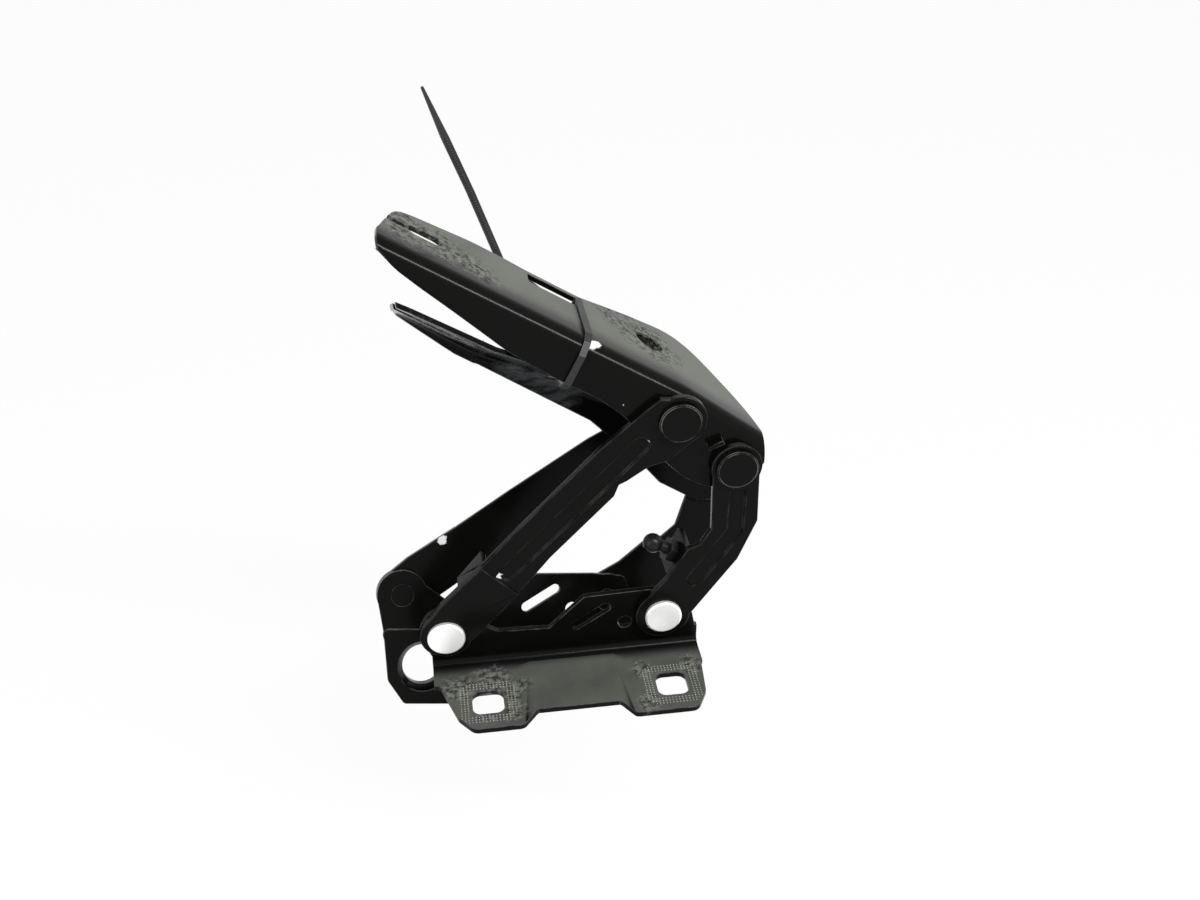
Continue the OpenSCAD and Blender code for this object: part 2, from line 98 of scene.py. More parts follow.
class Value:
    """An output socket that takes part in arithmetic."""

    def __init__(self, graph: "Graph", socket: "bpy.types.NodeSocket | None") -> None:
        """Keeps the socket and the graph that it belongs to."""
        self.graph = graph
        self.socket = socket

    def math(self, operation: str, *terms: Any) -> "Value":
        """Adds one Math node, with its inputs in order."""
        return self.graph.add("ShaderNodeMath", {"operation": operation}, dict(enumerate(terms)))

    def __add__(self, other: Any) -> "Value":
        """Sum."""
        return self.math("ADD", self, other)

    __radd__ = __add__

    def __sub__(self, other: Any) -> "Value":
        """Difference."""
        return self.math("SUBTRACT", self, other)

    def __rsub__(self, other: Any) -> "Value":
        """Reflected difference."""
        return self.math("SUBTRACT", other, self)

    def __mul__(self, other: Any) -> "Value":
        """Product."""
        return self.math("MULTIPLY", self, other)

    __rmul__ = __mul__

    def __abs__(self) -> "Value":
        """Size without sign."""
        return self.math("ABSOLUTE", self)

    def most(self, other: Any) -> "Value":
        """The larger of two."""
        return self.math("MAXIMUM", self, other)

    def under(self, other: Any) -> "Value":
        """One where this is below the other, else zero."""
        return self.math("LESS_THAN", self, other)

    def over(self, other: Any) -> "Value":
        """One where this is above the other, else zero."""
        return self.math("GREATER_THAN", self, other)

    def between(self, low: float, high: float) -> "Value":
        """A smooth step from zero at low to one at high."""
        return self.graph.add("ShaderNodeMapRange", {"interpolation_type": "SMOOTHSTEP"}, {
            "Value": self, "From Min": low, "From Max": high})


class Graph:
    """A node tree, with one method that adds any node."""

    def __init__(self, tree: bpy.types.NodeTree) -> None:
        """Empties the tree and keeps it."""
        self.tree = tree
        tree.nodes.clear()

    def add(self, kind: str, settings: dict, sockets: dict, output: int | str = 0) -> Value:
        """Adds a node.

        Args:
            kind: Type of the node.
            settings: Properties that are set first.
            sockets: Numbers, values or lists of values by input name or index.
            output: Which output is handed back.

        Returns:
            The chosen output, or an empty value where the node has none.
        """
        node = self.tree.nodes.new(kind)
        for name, setting in settings.items():
            setattr(node, name, setting)
        for key, given in sockets.items():
            target = node.inputs[key]
            for item in given if isinstance(given, list) else [given]:
                if isinstance(item, Value):
                    self.tree.links.new(item.socket, target)
                else:
                    target.default_value = item
        return Value(self, node.outputs[output] if node.outputs else None)


@dataclass(frozen=True)
class Grain:
    """Settings of one fractal noise.

    The scale is features to the metre, the detail is octaves and rough is the share of the finer ones.
    """

    scale: float
    detail: float
    rough: float
    stretch: Triple = (1.0, 1.0, 1.0)
    shift: float = 0.0


class SurfaceGraph(Graph):
    """The nodes of one material."""

    MIX_SHARE, MIX_BASE, MIX_OVER, MIX_COLOUR = 0, 6, 7, 2

    def __init__(self, name: str) -> None:
        """Makes an empty material.

        Args:
            name: Name of the material.
        """
        self.material = bpy.data.materials.new(name)
        self.material.use_nodes = True
        super().__init__(self.material.node_tree)
        self.place = self.add("ShaderNodeTexCoord", {}, {}, "Object")

    def facing(self, direction: Triple) -> Value:
        """Cosine of the angle between the surface and a direction of the object."""
        normal = self.add("ShaderNodeTexCoord", {}, {}, "Normal")
        return self.add(
            "ShaderNodeVectorMath", {"operation": "DOT_PRODUCT"}, {0: normal, 1: direction}, "Value")

    def softened(self) -> Value:
        """One on the bevels of the sharp edges, else zero."""
        return self.add("ShaderNodeAttribute", {"attribute_name": EDGE_MARK}, {}, "Fac")

    def noise(self, grain: Grain) -> Value:
        """Fractal noise on the object's coordinates, about one half on average."""
        where = self.add("ShaderNodeMapping", {}, {
            "Vector": self.place, "Scale": grain.stretch, "Location": (grain.shift,) * 3})
        return self.add("ShaderNodeTexNoise", {}, {
            "Vector": where, "Scale": grain.scale, "Detail": grain.detail, "Roughness": grain.rough})

    def near(self, spot: Triple, full: float, none: float, wobble: Any = 0.0) -> Value:
        """A round mask: one up to the full distance, and zero from the none distance on."""
        far = self.add("ShaderNodeVectorMath", {"operation": "DISTANCE"}, {0: self.place, 1: spot}, "Value")
        return 1 - (far + wobble).between(full, none)

    def mix(self, share: Any, base: Any, over: Any) -> Value:
        """Lays a share of one colour over another."""
        pick = [c if isinstance(c, Value) else (*c, 1.0) for c in (base, over)]
        return self.add("ShaderNodeMix", {"data_type": "RGBA"}, {
            self.MIX_SHARE: share, self.MIX_BASE: pick[0], self.MIX_OVER: pick[1]}, self.MIX_COLOUR)

    def finish(self, fixed: dict, varied: dict, height: Value, depth: float, strength: float) -> Paint:
        """Ends the tree in a shader with a bump.

        Args:
            fixed: Shader inputs that are the same all over.
            varied: Shader inputs that change over the surface.
            height: Height field of the bump.
            depth: Height of one unit of that field, in metres.
            strength: Strength of the bump.

        Returns:
            The finished material.
        """
        bump = self.add("ShaderNodeBump", {}, {"Height": height, "Distance": depth, "Strength": strength})
        shader = self.add("ShaderNodeBsdfPrincipled", {}, {**fixed, **varied, "Normal": bump})
        self.add("ShaderNodeOutputMaterial", {}, {"Surface": shader})
        return self.material


@dataclass(frozen=True)
class Spot:
    """A place on the object and its reach, in metres."""

    at: Triple
    reach: float


Spots = tuple[Spot, ...]


@dataclass(frozen=True)
class Mark:
    """One kind of wear where it shows in full: its colour and cover, and what it adds to the surface."""

    colour: Triple
    cover: float = 1.0
    rough: float = 0.0
    rise: float = 0.0
    metal: float = 0.0


@dataclass(frozen=True)
class DipCoat:
    """Black dip coat on pressed steel: satin, dusty with a painted sheen on top and painted shade toward
    the bends, bare with a painted highlight on edges, pitted where bolts were.

    A pair is where a smooth step starts and ends. A core is the share of a spot's reach that shows in
    full, and a fray is how far its rim wanders, in metres.
    """

    name: str
    dusty_lit_side: Triple = (0.0, 0.0, 1.0)
    dust_and_sheen_share: float = 0.0
    dust_and_sheen_fade: Pair = (0.90, 0.995)
    # Painted shade: the grey fades along the object's Y between these two places, down to the least share.
    bend_shade_from: Pair = (-1.0, -0.9)
    bend_shade_least: float = 0.42
    dust_and_sheen_patch: float = 0.5
    pitted: Spots = ()
    pit_core: float = 0.45
    pit_fray: float = 0.016
    scab_at: Pair = (0.46, 0.58)
    hollow_at: Pair = (0.50, 0.40)
    scuffs: Spots = ()
    scuff_core: float = 0.35
    scuff_fray: float = 0.02
    scuff_least: float = 0.25
    streak_at: Pair = (0.42, 0.62)
    chips: Spots = ()
    chip_core: float = 0.7
    chip_fray: float = 0.007
    chip_bite: float = 0.005
    bare_and_glint_edges: float = 0.3
    bare_and_glint_at: Pair = (0.36, 0.64)
    gloss: float = 0.23
    gloss_drift: float = 0.16
    shine: float = 0.07
    peel_rise: float = 0.12
    relief: float = 0.22 * MM
    relief_strength: float = 0.55
    paint: Triple = (0.0026, 0.0030, 0.0024)
    # Grey of dust on the upward faces, which also serves as a painted sheen of the light from above.
    dust_and_sheen: Mark = Mark((0.121, 0.126, 0.110), rough=0.26)
    hollow: Mark = Mark((0.022, 0.023, 0.019), cover=0.85, rough=0.22, rise=-0.8)
    scab: Mark = Mark((0.20, 0.205, 0.185), cover=0.6, rough=0.22, rise=0.9)
    scuff: Mark = Mark((0.085, 0.089, 0.093), cover=0.7, rough=0.2, rise=0.3)
    # Pale bare metal on the bevels, which also serves as a painted highlight along the edges.
    bare_and_glint: Mark = Mark((0.24, 0.24, 0.235), metal=0.5)
    chip: Mark = Mark((0.66, 0.67, 0.66), rough=0.15, rise=-0.6)
    broad: Grain = Grain(42, 5, 0.55)
    cloud: Grain = Grain(95, 6, 0.6, shift=3.1)
    peel: Grain = Grain(620, 2, 0.5, shift=7.7)
    pits: Grain = Grain(330, 6, 0.72, shift=1.9)
    streaks: Grain = Grain(75, 5, 0.65, (1.0, 1.0, 4.0), 5.3)

    @staticmethod
    def any_of(graph: SurfaceGraph, spots: Spots, core: float, wobble: Value) -> Any:
        """Joins the masks of several spots.

        Args:
            graph: The material's nodes.
            spots: Where the masks are.
            core: Share of the reach where a mask is still one.
            wobble: Added to every distance.

        Returns:
            The joined mask, or zero where there are no spots.
        """
        mask: Any = 0.0
        for spot in spots:
            one = graph.near(spot.at, spot.reach * core, spot.reach, wobble)
            mask = one if mask == 0.0 else one.most(mask)
        return mask

    def wear(self, graph: SurfaceGraph, broad: Value, cloud: Value) -> list[tuple[Mark, Any]]:
        """Works out where each kind of wear shows.

        Args:
            graph: The material's nodes.
            broad: Noise of broad patches.
            cloud: Noise of smaller patches.

        Returns:
            Each mark and its mask, from the lowest layer to the highest.
        """
        pits, streaks = graph.noise(self.pits), graph.noise(self.streaks)
        # Dust with a painted sheen: faces turned toward the given side take the grey, patchy by the broad
        # noise.
        top = graph.facing(self.dusty_lit_side).between(*self.dust_and_sheen_fade)
        # Painted shade toward the bend: the dust and sheen fade along the object's Y.
        unshaded_share = graph.add("ShaderNodeSeparateXYZ", {}, {0: graph.place}, 1).between(*self.bend_shade_from)
        dust_and_sheen_mask = top * self.dust_and_sheen_share * (self.dust_and_sheen_patch + broad) * (
            self.bend_shade_least + (1 - self.bend_shade_least) * unshaded_share)
        wander = cloud - 0.5
        bitten = wander * self.chip_fray + (pits - 0.5) * self.chip_bite
        worn = self.any_of(graph, self.pitted, self.pit_core, wander * self.pit_fray)
        rubbed = self.any_of(graph, self.scuffs, self.scuff_core, wander * self.scuff_fray)
        streaked = self.scuff_least + (1 - self.scuff_least) * streaks.between(*self.streak_at)
        return [
            (self.dust_and_sheen, dust_and_sheen_mask),
            (self.hollow, worn * pits.between(*self.hollow_at)),
            (self.scab, worn * pits.between(*self.scab_at)),
            (self.scuff, rubbed * streaked),
            # Bare metal with a painted highlight on the bevels.
            (self.bare_and_glint, graph.softened() * cloud.between(*self.bare_and_glint_at) * self.bare_and_glint_edges),
            (self.chip, self.any_of(graph, self.chips, self.chip_core, bitten))]

    def material(self) -> Paint:
        """Builds the material from its settings.

        Returns:
            The material.
        """
        graph = SurfaceGraph(self.name)
        broad, cloud = graph.noise(self.broad), graph.noise(self.cloud)
        wear = self.wear(graph, broad, cloud)
        colour: Any = self.paint
        for mark, mask in wear:
            colour = graph.mix(mask * mark.cover, colour, mark.colour)
        rough = self.gloss + self.gloss_drift * (broad - 0.5) + sum(
            mask * mark.rough for mark, mask in wear if mark.rough)
        height = graph.noise(self.peel) * self.peel_rise + sum(
            mask * mark.rise for mark, mask in wear if mark.rise)
        metal = sum(mask * mark.metal for mark, mask in wear if mark.metal)
        return graph.finish(
            {"Specular IOR Level": self.shine},
            {"Base Color": colour, "Roughness": rough, "Metallic": metal},
            height, self.relief, self.relief_strength)


@dataclass(frozen=True)
class TurnedMetal:
    """Bare turned or stamped metal: bright zinc, phosphated steel or bronze."""

    name: str
    colour: Triple
    stain: Triple
    roughness: float
    metallic: float
    stain_share: float = 0.35
    stain_at: Pair = (0.46, 0.72)
    stain_rough: float = 0.2
    shine: float = 0.5
    cloud: Grain = Grain(150, 5, 0.6)
    grain: Grain = Grain(900, 3, 0.6, (1.0, 4.0, 1.0), 2.0)
    grain_rough: float = 0.14
    relief: float = 0.05 * MM
    relief_strength: float = 0.35

    def material(self) -> Paint:
        """Builds the material from its settings.

        Returns:
            The material.
        """
        graph = SurfaceGraph(self.name)
        grain = graph.noise(self.grain)
        stained = graph.noise(self.cloud).between(*self.stain_at) * self.stain_share
        colour = graph.mix(stained, self.colour, self.stain)
        rough = self.roughness + self.grain_rough * (grain - 0.5) + self.stain_rough * stained
        return graph.finish(
            {"Metallic": self.metallic, "Specular IOR Level": self.shine},
            {"Base Color": colour, "Roughness": rough},
            grain, self.relief, self.relief_strength)


@dataclass(frozen=True)
class MouldedNylon:
    """Black moulded nylon with a faint grain, rubbed grey on its edges."""

    name: str = "tie_nylon"
    colour: Triple = (0.010, 0.010, 0.0105)
    rubbed: Triple = (0.10, 0.10, 0.10)
    rubbed_at: Pair = (0.42, 0.6)
    rubbed_share: float = 0.5
    roughness: float = 0.42
    rough_drift: float = 0.2
    shine: float = 0.4
    grain: Grain = Grain(800, 3, 0.55)
    cloud: Grain = Grain(120, 4, 0.6, shift=4.0)
    relief: float = 0.06 * MM
    relief_strength: float = 0.4

    def material(self) -> Paint:
        """Builds the material from its settings.

        Returns:
            The material.
        """
        graph = SurfaceGraph(self.name)
        cloud = graph.noise(self.cloud)
        rubbed = graph.softened() * cloud.between(*self.rubbed_at) * self.rubbed_share
        colour = graph.mix(rubbed, self.colour, self.rubbed)
        rough = self.roughness + self.rough_drift * (cloud - 0.5)
        return graph.finish(
            {"Specular IOR Level": self.shine},
            {"Base Color": colour, "Roughness": rough},
            graph.noise(self.grain), self.relief, self.relief_strength)


def linked(name: str, data: bpy.types.ID) -> Piece:
    """Adds an object to the scene.

    Args:
        name: Its name.
        data: Its mesh, lamp or camera.

    Returns:
        The object.
    """
    made = bpy.data.objects.new(name, data)
    bpy.context.scene.collection.objects.link(made)
    return made


def placed(name: str, shape: bmesh.types.BMesh) -> Piece:
    """Turns a shape into an object of the scene.

    Args:
        name: Name of the object and its mesh.
        shape: The shape, which is freed.

    Returns:
        The object.
    """
    mesh = bpy.data.meshes.new(name)
    shape.to_mesh(mesh)
    shape.free()
    return linked(name, mesh)


def plain_mesh(piece: Piece) -> bpy.types.Mesh:
    """The mesh of an object with its modifiers applied."""
    shown = piece.evaluated_get(bpy.context.evaluated_depsgraph_get())
    return bpy.data.meshes.new_from_object(shown)


def punch_out(piece: Piece, cutters: list[Piece]) -> None:
    """Cuts holes out of a piece and removes the cutters.

    Args:
        piece: The piece to change.
        cutters: Closed meshes that are cut out of it.
    """
    for tool in cutters:
        cut = piece.modifiers.new("cut", "BOOLEAN")
        cut.operation, cut.solver, cut.object = "DIFFERENCE", "EXACT", tool
    piece.data = plain_mesh(piece)
    piece.modifiers.clear()
    for tool in cutters:
        bpy.data.objects.remove(tool)


def circle(radius: float, steps: int) -> list[Pair]:
    """Points of a circle about the origin, anticlockwise."""
    turns = [math.tau * k / steps for k in range(steps)]
    return [(radius * math.cos(turn), radius * math.sin(turn)) for turn in turns]


def rounded(half_x: float, half_y: float, corner: float, turns: int = 6) -> list[Pair]:
    """Outline of a rounded oblong about the origin.

    Args:
        half_x: Half its length.
        half_y: Half its width.
        corner: Radius of its corners.
        turns: Steps in a corner.

    Returns:
        Its points, anticlockwise.
    """
    ring = []
    for quarter, (sx, sy) in enumerate(((1, 1), (-1, 1), (-1, -1), (1, -1))):
        x, y = sx * (half_x - corner), sy * (half_y - corner)
        for step in range(turns + 1):
            turn = math.radians(90) * (quarter + step / turns)
            ring.append((x + corner * math.cos(turn), y + corner * math.sin(turn)))
    return ring


def cutter(name: str, outline: list[Pair], place: Matrix, depth: float = 8 * MM) -> Piece:
    """Builds a prism that cuts a hole.

    Args:
        name: Name of the object.
        outline: Outline of the hole.
        place: Centre of the hole and its axes.
        depth: How far the prism stands out to each side.

    Returns:
        The cutter, in the scene.
    """
    shape = bmesh.new()
    low, high = (
        [shape.verts.new(place @ Vector((x, y, z))) for x, y in outline] for z in (-depth, depth))
    shape.faces.new(low)
    shape.faces.new(high)
    for i in range(len(low)):
        j = (i + 1) % len(low)
        shape.faces.new((low[i], low[j], high[j], high[i]))
    bmesh.ops.recalc_face_normals(shape, faces=shape.faces)
    return placed(name, shape)


@dataclass
class SoftEdges:
    """Makes soft-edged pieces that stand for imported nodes."""

    corner: float = math.radians(24)
    smooth: float = math.radians(38)
    flat: float = math.radians(0.4)
    merge: float = 2e-6
    face_weight: int = 80

    def copy_of(self, node: str) -> Piece:
        """Copies a node's mesh with its loose triangles merged.

        Args:
            node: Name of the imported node.

        Returns:
            The copy, in the scene.
        """
        shape = bmesh.new()
        shape.from_mesh(frame["nodes"][node].data)
        bmesh.ops.remove_doubles(shape, verts=shape.verts, dist=self.merge)
        return placed(node + "_piece", shape)

    def soften(self, piece: Piece, width: float, steps: int = 2, sliver: float = 0.0) -> None:
        """Bevels the sharp edges of a piece and marks the bevels for wear and a painted highlight.

        Args:
            piece: The piece to change.
            width: Width of the bevel in metres.
            steps: Number of strips in a bevel.
            sliver: Length below which an edge is closed first.
        """
        shape = bmesh.new()
        shape.from_mesh(piece.data)
        bmesh.ops.dissolve_limit(
            shape, angle_limit=self.flat, verts=shape.verts, edges=shape.edges, delimit={"NORMAL"})
        if sliver:
            bmesh.ops.dissolve_degenerate(shape, dist=sliver, edges=shape.edges)
        mark = shape.faces.layers.float.new(EDGE_MARK)
        sharp = [e for e in shape.edges if len(e.link_faces) == 2 and e.calc_face_angle(0) > self.corner]
        made = bmesh.ops.bevel(
            shape, geom=sharp, offset=width, offset_type="OFFSET", segments=steps, profile=0.5,
            affect="EDGES", clamp_overlap=False, loop_slide=True)
        for face in made["faces"]:
            face[mark] = 1.0
        for face in shape.faces:
            face.smooth = True
        for e in shape.edges:
            e.smooth = len(e.link_faces) != 2 or e.calc_face_angle(0) < self.smooth
        shape.to_mesh(piece.data)
        shape.free()
        weighted = piece.modifiers.new("even_shading", "WEIGHTED_NORMAL")
        weighted.keep_sharp = True
        weighted.weight = self.face_weight

    def stand_in(self, piece: Piece, node: str, body: str, slot: Slot, paint: Paint) -> Piece:
        """Puts a finished piece in its node's place.

        Args:
            piece: The finished piece.
            node: The node that it stands for.
            body: The body that it moves with.
            slot: Not used.
            paint: Its material.

        Returns:
            The piece.
        """
        piece.data.materials.clear()
        piece.data.materials.append(paint)
        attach(piece, body)
        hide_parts(node)
        return piece


@dataclass
class BonnetPressing:
    """Folded sheet of the near bonnet bracket: a web, a bend and a wide flange.

    Sizes are in millimetres. Lines run from the front upper pivot, along the base and up, or along the
    base and inboard. The least sizes keep a web, a bend and a flange where the nose runs out. An opening
    has half its length and width, its corner, and its place on the flange.
    """

    pivot: Triple = (51.1495 * MM, 31 * MM, 138.9499 * MM)
    sheet: float = 2.5
    bend: float = 8.0
    arc_steps: int = 12
    ring_steps: int = 40
    spacing: float = 1.5
    probe: float = 1.0
    ease: tuple[float, ...] = (-2.4, -1.2, 0.0, 1.2, 2.4)
    least_web: float = 0.3
    least_bend: float = 0.5
    least_flange: float = 1.0
    crest: Line = ((-131, 97.1), (4, 13.0), (46, -18.5))
    low: Line = (
        (-131, 93.0), (-128, 88.6), (-124.3, 83.0), (-113.9, 73.1), (-103.2, 63.5), (-87.5, 49.0),
        (-79, 41.0), (-66, 31.5), (-54, 23.0), (-45, 17.6), (-37, 12.4), (-26, 3.0), (-15, -10.5),
        (-5, -25.0), (4, -34.0), (13.5, -39.5), (24.5, -42.0), (33, -41.0), (39, -36.0), (44, -27.0))
    reach: Line = (
        (-130.5, 9.0), (-129, 16.0), (-127, 26.0), (-125, 38.0), (-122, 44.5), (-116, 47.5), (-90, 53.0),
        (-77, 53.0), (-64, 51.6), (-40, 51.6), (-28, 56.0), (-15, 60.5), (0, 64.0), (10, 65.0),
        (17, 61.5), (23, 54.0), (34.4, 34.0), (40.5, 20.0), (42.5, 12.0), (43, 9.5))
    ends: Pair = (-130.0, 43.0)
    hole: Pair = (-7.0, 40.0)
    hole_r: float = 7.5
    drawn: float = 3.0
    collar_wall: float = 1.6
    collar_top: float = -1.0
    openings: tuple[tuple[str, Triple, Pair], ...] = (
        ("window", (14.6, 4.6, 1.6), (-51.9, 43.6)),
        ("keyhole", (8.5, 4.2, 4.1), (-110, 31)),
        ("neck", (16.0, 2.4, 0.4), (-128, 31)))
    stop_size: Triple = (8.0, 6.55, 2.4)
    stop_at: Triple = (-5.0, -0.775, 16.45)
    stop_turn: float = math.radians(22)
    rear_pivot: Pair = (28.55, -28.02)

    @staticmethod
    def straight(line: Line, x: float) -> float:
        """Value of a broken line.

        Args:
            line: Its corners.
            x: Distance along the base.

        Returns:
            The value at x, level before the line's start.
        """
        for (x0, v0), (x1, v1) in zip(line, line[1:]):
            if x <= x1 or (x1, v1) == line[-1]:
                return v0 + (v1 - v0) * max(0.0, x - x0) / (x1 - x0)
        return line[-1][1]

    def along(self, line: Line, x: float) -> float:
        """Value of a broken line at x, eased over its corners."""
        return sum(self.straight(line, x + step) for step in self.ease) / len(self.ease)

    def spot(self, x: float, y: float, drop: float = 0.0) -> Vector:
        """A point in metres, along the base, inboard and at a drop under the crest."""
        return Vector(self.pivot) + Vector((x, y, self.along(self.crest, x) - drop)) * MM

    def stand(self, x: float, y: float) -> Matrix:
        """Axes that stand square on the flange.

        Args:
            x: Distance along the base.
            y: Distance inboard.

        Returns:
            The frame, with its first axis along the flange and its third up out of it.
        """
        run = (self.spot(x + self.probe, y) - self.spot(x - self.probe, y)).normalized()
        side = Vector((0, 1, 0))
        turn = Matrix((run, side, run.cross(side))).transposed().to_4x4()
        return Matrix.Translation(self.spot(x, y)) @ turn

    def section(self, x: float) -> list[Vector]:
        """Outside of the sheet across one station.

        Args:
            x: Distance along the base.

        Returns:
            Its points, from the web's lower edge to the flange's far edge.
        """
        fall = self.along(self.crest, x + self.probe) - self.along(self.crest, x - self.probe)
        tall = self.bend * math.hypot(1, fall / (2 * self.probe))
        depth = self.along(self.crest, x) - self.along(self.low, x)
        start = math.acos(max(0.0, 1 - max(self.least_bend, depth - self.least_web) / tall))
        drop = tall * (1 - math.cos(start))
        points = [self.spot(x, self.bend * (1 - math.sin(start)), max(depth, drop + self.least_web))]
        for step in range(self.arc_steps + 1):
            turn = start * (1 - step / self.arc_steps)
            points.append(self.spot(x, self.bend * (1 - math.sin(turn)), tall * (1 - math.cos(turn))))
        points.append(self.spot(x, max(self.bend + self.least_flange, self.along(self.reach, x))))
        return points

    def swept(self, name: str) -> Piece:
        """Sweeps the section along the bracket and gives it its thickness.

        Args:
            name: Name of the piece.

        Returns:
            The sheet without its holes, in the scene.
        """
        start, end = self.ends
        count = int((end - start) / self.spacing)
        shape = bmesh.new()
        rows = [
            [shape.verts.new(point) for point in self.section(start + (end - start) * i / count)]
            for i in range(count + 1)]
        for a, b in zip(rows, rows[1:]):
            for i in range(len(a) - 1):
                shape.faces.new((a[i], b[i], b[i + 1], a[i + 1]))
        piece = placed(name, shape)
        wall = piece.modifiers.new("wall", "SOLIDIFY")
        wall.thickness, wall.offset, wall.use_even_offset = self.sheet * MM, -1.0, True
        piece.data = plain_mesh(piece)
        piece.modifiers.clear()
        return piece

    def collar(self, shape: bmesh.types.BMesh, place: Matrix) -> None:
        """Adds the drawn collar under the bolt hole.

        Args:
            shape: The shape that it joins.
            place: Middle of the hole on the flange, and its axes.
        """
        outer, foot = self.hole_r + self.collar_wall, -self.sheet - self.drawn
        wall = (
            (self.hole_r, self.collar_top), (self.hole_r, foot), (outer, foot), (outer, self.collar_top))
        rings = [
            [shape.verts.new(place @ Vector((x, y, z * MM))) for x, y in circle(r * MM, self.ring_steps)]
            for r, z in wall]
        made = []
        for a, b in zip(rings, rings[1:] + rings[:1]):
            for k in range(self.ring_steps):
                m = (k + 1) % self.ring_steps
                made.append(shape.faces.new((a[k], a[m], b[m], b[k])))
        bmesh.ops.recalc_face_normals(shape, faces=made)

    def build(self, name: str) -> Piece:
        """Sweeps the sheet, punches it and adds the collar and the stop tab.

        Args:
            name: Name of the piece.

        Returns:
            The piece, in the scene.
        """
        piece = self.swept(name)
        place = self.stand(*self.hole)
        punch_out(piece, [cutter("punch_hole", circle(self.hole_r * MM, self.ring_steps), place)] + [
            cutter("punch_" + label, rounded(*(v * MM for v in size)), self.stand(*at))
            for label, size, at in self.openings])
        shape = bmesh.new()
        shape.from_mesh(piece.data)
        self.collar(shape, place)
        centre = Vector(self.pivot) + Vector((self.rear_pivot[0], 0, self.rear_pivot[1])) * MM
        turn = Matrix.Rotation(-self.stop_turn, 4, "Y")
        stop = Matrix.Translation(centre) @ turn @ Matrix.Translation(Vector(self.stop_at) * MM)
        size = Matrix.Diagonal((*(v * MM for v in self.stop_size), 1.0))
        bmesh.ops.create_cube(shape, size=1.0, matrix=stop @ size)
        shape.to_mesh(piece.data)
        shape.free()
        return piece


class ShapeGraph(Graph):
    """A Geometry Nodes tree with named inputs."""

    def __init__(self, name: str, inputs: dict[str, Any]) -> None:
        """Makes an empty tree.

        Args:
            name: Name of the tree.
            inputs: Its named inputs and their values; whole numbers become counts.
        """
        tree = bpy.data.node_groups.new(name, "GeometryNodeTree")
        tree.is_modifier = True
        super().__init__(tree)
        for way in ("INPUT", "OUTPUT"):
            tree.interface.new_socket(name="Geometry", in_out=way, socket_type="NodeSocketGeometry")
        self.given: dict[str, Any] = {}
        for label, start in inputs.items():
            kind = "NodeSocketInt" if isinstance(start, int) else "NodeSocketFloat"
            socket = tree.interface.new_socket(name=label, in_out="INPUT", socket_type=kind)
            self.given[socket.identifier] = start
        self.entry = tree.nodes.new("NodeGroupInput")

    def input(self, name: str) -> Value:
        """One of the tree's inputs by name."""
        return Value(self, self.entry.outputs[name])

    def close(self, geometry: Value, paint: Paint) -> None:
        """Realizes the instances, paints them and ends the tree.

        Args:
            geometry: What the tree has made.
            paint: Its material.
        """
        real = self.add("GeometryNodeRealizeInstances", {}, {"Geometry": geometry})
        painted = self.add("GeometryNodeSetMaterial", {}, {"Geometry": real, "Material": paint})
        self.add("NodeGroupOutput", {}, {0: painted})

    def bake(self, piece: Piece) -> None:
        """Runs the tree on an object and keeps the result as its plain mesh.

        Args:
            piece: The object whose mesh the tree starts from.
        """
        live = piece.modifiers.new(self.tree.name, "NODES")
        live.node_group = self.tree
        for identifier, start in self.given.items():
            live[identifier] = start
        made = plain_mesh(piece)
        piece.modifiers.remove(live)
        piece.data = made
        for face in made.polygons:
            face.use_smooth = True


@dataclass
class FootKnurl:
    """Rows of pressed points in a square ring round a foot hole."""

    pitch: float = 1.66 * MM
    clear: float = 8.9 * MM
    half: float = 13.9 * MM
    cut_corner: float = 23.4 * MM
    radius: float = 0.46 * MM
    height: float = 0.36 * MM
    tip: float = 0.35
    sides: int = 7

    def build(self, name: str, places: list[Matrix], paint: Paint) -> Piece:
        """Makes the points of one or more feet.

        Args:
            name: Name of the piece.
            places: The middle of each hole on the pad's upper face, and the pad's axes.
            paint: Material of the points.

        Returns:
            The piece, in the scene.
        """
        count = 2 * int(self.half / self.pitch) + 1
        graph = ShapeGraph(name + "_rows", {
            "Span": self.pitch * (count - 1), "Rows": count, "Clear": self.clear,
            "Corner": self.cut_corner, "Point Radius": self.radius, "Point Height": self.height})
        grid = graph.add("GeometryNodeMeshGrid", {}, {
            "Size X": graph.input("Span"), "Size Y": graph.input("Span"),
            "Vertices X": graph.input("Rows"), "Vertices Y": graph.input("Rows")})
        where = graph.add("GeometryNodeInputPosition", {}, {})
        x, y = (abs(graph.add("ShaderNodeSeparateXYZ", {}, {0: where}, axis)) for axis in (0, 1))
        unwanted = x.most(y).under(graph.input("Clear")).most((x + y).over(graph.input("Corner")))
        ring = graph.add(
            "GeometryNodeDeleteGeometry", {"domain": "POINT"}, {"Geometry": grid, "Selection": unwanted})
        point = graph.add("GeometryNodeMeshCone", {}, {
            "Vertices": self.sides, "Radius Top": graph.input("Point Radius") * self.tip,
            "Radius Bottom": graph.input("Point Radius"), "Depth": graph.input("Point Height")})
        rows = graph.add("GeometryNodeInstanceOnPoints", {}, {"Points": ring, "Instance": point})
        feet = [
            graph.add("GeometryNodeTransform", {}, {
                "Geometry": rows, "Translation": tuple(place.translation),
                "Rotation": tuple(place.to_euler())})
            for place in places]
        graph.close(graph.add("GeometryNodeJoinGeometry", {}, {"Geometry": feet}), paint)
        piece = linked(name, bpy.data.meshes.new(name))
        graph.bake(piece)
        return piece


